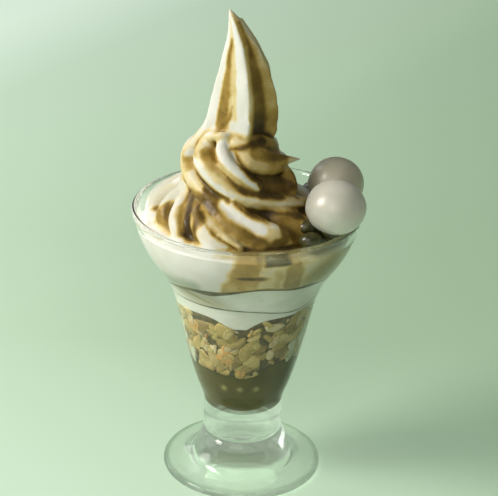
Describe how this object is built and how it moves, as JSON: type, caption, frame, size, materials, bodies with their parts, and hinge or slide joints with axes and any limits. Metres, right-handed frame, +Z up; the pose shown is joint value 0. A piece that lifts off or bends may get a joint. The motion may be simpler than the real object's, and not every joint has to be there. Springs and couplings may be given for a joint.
{
  "type": "parfait",
  "caption": "Layered parfait in a clear footed glass: dark jelly, golden cereal, cream and a tall swirl of soft serve with rice balls and sweet beans.",
  "frame": {"origin": "centre of the foot's underside, on the axis of the glass", "axes": "+Z up the glass's axis to the tip of the swirl; -Y towards the viewer in the picture; +X to the viewer's right, where the rice balls lie"},
  "size_m": [0.1, 0.1, 0.2142],
  "materials": {
    "clear_glass": "clear, smooth and glossy",
    "dark_jelly": "dark, wet and glossy",
    "golden_cereal": "dry, crisp and uneven",
    "white_cream": "smooth and soft",
    "soft_serve_vanilla": "smooth, moist, with brown syrup in its grooves",
    "rice_flour": "smooth and moist",
    "sweet_bean": "dark and glazed"
  },
  "bodies": {
    "root": {"glass": "clear_glass", "jelly": "dark_jelly", "cereal": "golden_cereal", "cream": "white_cream", "second_cream": "white_cream", "soft_serve": "soft_serve_vanilla", "rice_ball_front": "rice_flour", "rice_ball_back": "rice_flour", "sweet_beans": "sweet_bean"}
  },
  "joints": []
}
